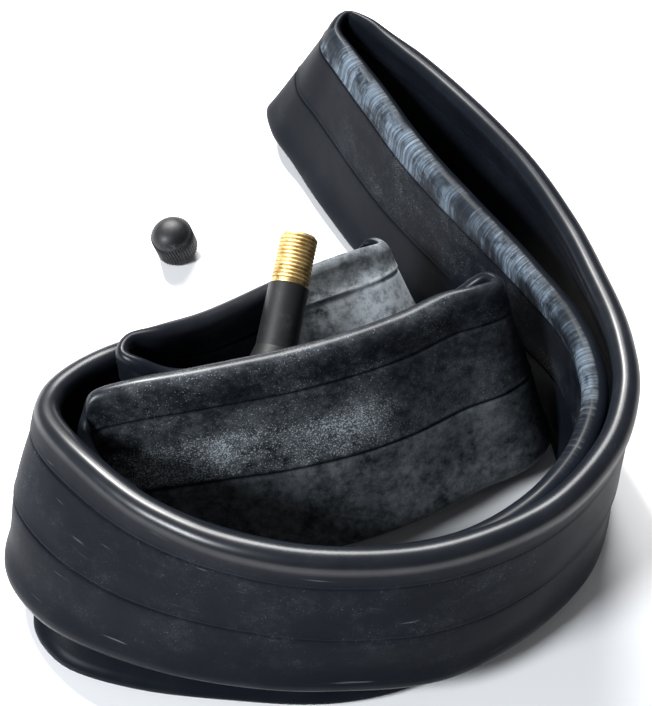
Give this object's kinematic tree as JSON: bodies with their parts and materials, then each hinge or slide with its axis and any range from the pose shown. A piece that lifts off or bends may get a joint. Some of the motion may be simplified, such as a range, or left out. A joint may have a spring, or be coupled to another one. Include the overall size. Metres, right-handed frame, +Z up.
{
  "type": "bicycle inner tube",
  "caption": "Deflated black butyl bicycle inner tube folded up on its edge, with a brass car-type valve and its loose plastic dust cap.",
  "frame": {"origin": "centre of the folded tube's footprint, on the surface it stands on", "axes": "+Z up; +Y from the folded body towards the long back fold; +X to the right seen from the front"},
  "size_m": [0.123, 0.1638, 0.0506],
  "materials": {
    "butyl": "satin",
    "valve_rubber": "satin",
    "seal": "matte",
    "brass": "satin",
    "spring_steel": "satin",
    "cap_plastic": "matte"
  },
  "bodies": {
    "folded_tube": {"tube_back_fold": "butyl", "tube_outer_right": "butyl", "tube_outer_front": "butyl", "tube_outer_left": "butyl", "tube_hidden_run": "butyl", "tube_rear_fold": "butyl", "tube_rear_run": "butyl", "tube_small_curl": "butyl", "tube_valve_run": "butyl", "tube_front_fold": "butyl", "tube_front_run": "butyl", "tube_left_fold": "butyl", "tube_inner_front": "butyl", "tube_inner_right": "butyl", "tube_long_run": "butyl", "valve_rubber": "valve_rubber", "valve_stem": "brass"},
    "core": {"core_barrel": "brass", "core_gasket": "seal", "core_spring_stop": "brass", "core_spring": "spring_steel"},
    "plug": {"core_plug": "brass"},
    "pin": {"core_pin": "brass", "core_cup": "brass", "core_seal": "seal"},
    "cap": {"dust_cap": "cap_plastic", "cap_seal": "seal"}
  },
  "joints": [
    {"name": "core_out", "type": "slide", "parent": "folded_tube", "child": "core", "axis": [0.1987, 0.8643, 0.462], "range_m": [0, 0.0034]},
    {"name": "plug_turn", "type": "hinge", "parent": "core", "child": "plug", "pos_m": [-0.00365, -0.00272, 0.04386], "axis": [0.1987, 0.8643, 0.462], "range_deg": [0, 1740]},
    {"name": "pin_press", "type": "slide", "parent": "core", "child": "pin", "axis": [-0.1987, -0.8643, -0.462], "range_m": [0, 0.0013], "stiffness_N_per_m": 150, "springref_m": -0.002},
    {"name": "cap_lift", "type": "slide", "parent": "folded_tube", "child": "cap", "axis": [0, 0, 1], "range_m": [0, 0.06]}
  ],
  "couplings": [
    {"joint": "plug_turn", "follows": "core_out", "rad_per_m": 8899.7}
  ]
}
